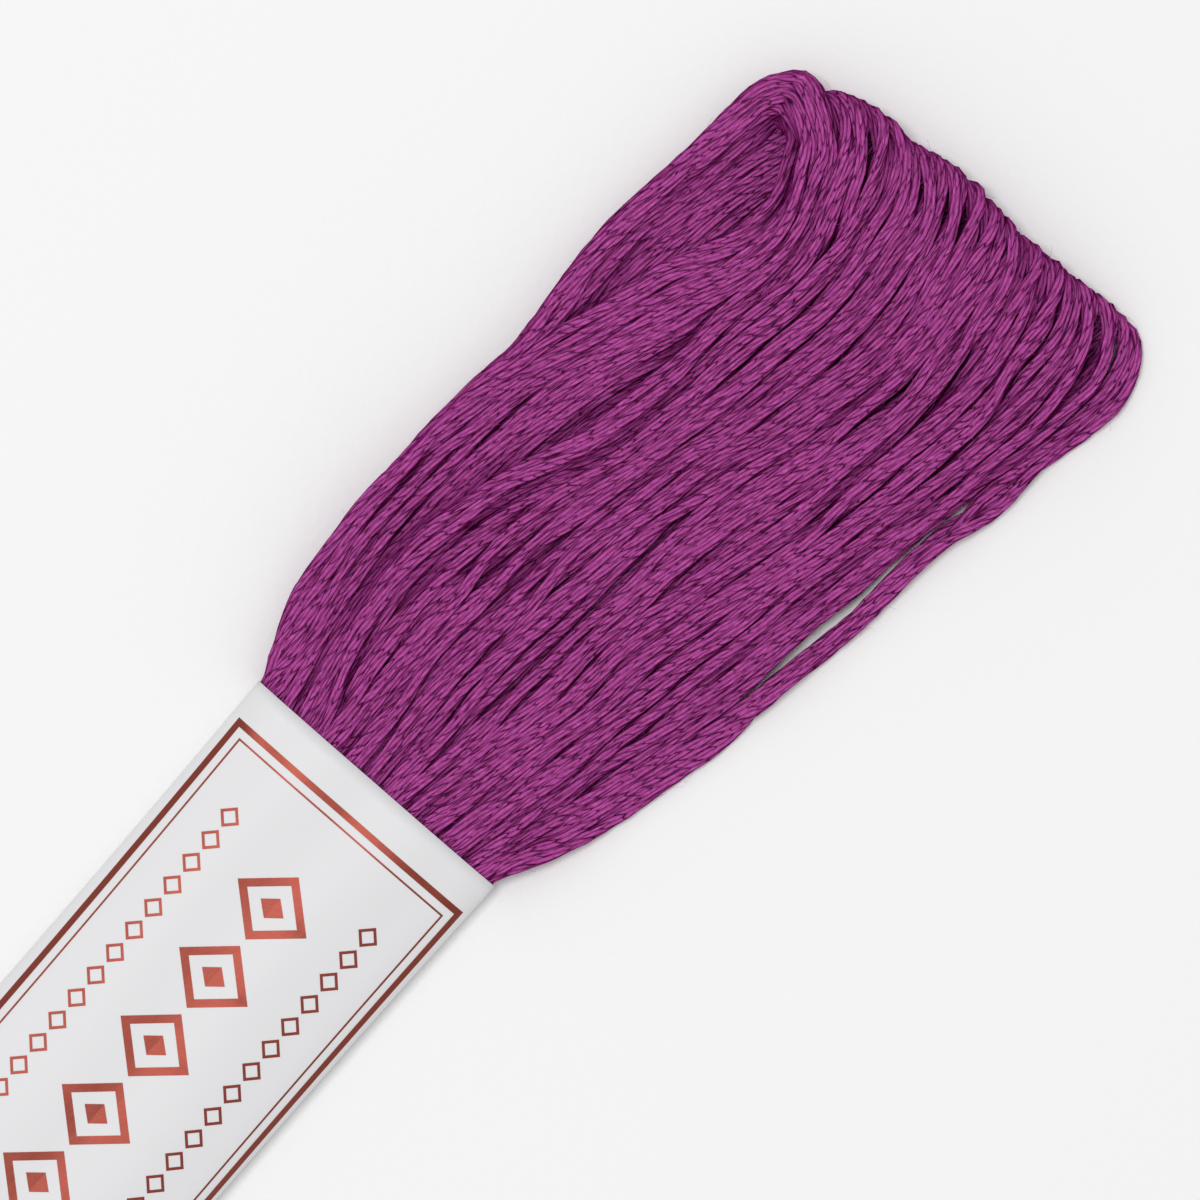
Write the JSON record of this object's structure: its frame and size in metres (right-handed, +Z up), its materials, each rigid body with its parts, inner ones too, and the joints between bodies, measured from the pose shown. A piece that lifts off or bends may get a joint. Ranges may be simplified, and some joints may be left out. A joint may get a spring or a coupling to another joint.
{
  "type": "skein of embroidery floss",
  "caption": "Flat wound skein of plied cotton embroidery floss, its turns fanning out at both ends from a folded paper sleeve around its middle.",
  "frame": {"origin": "middle of the sleeve's underside, on the surface that the skein lies on", "axes": "+X along the skein, +Y across it towards the side where the loop's eye shows, +Z up"},
  "size_m": [0.1756, 0.0431, 0.0053],
  "materials": {
    "cotton": "plied cotton, soft and slightly fuzzy, deep purple",
    "paper": "coated white paper, satin",
    "foil": "copper-coloured foil print, satin metal"
  },
  "bodies": {
    "root": {"hank": "cotton", "sleeve": "paper"}
  },
  "joints": []
}
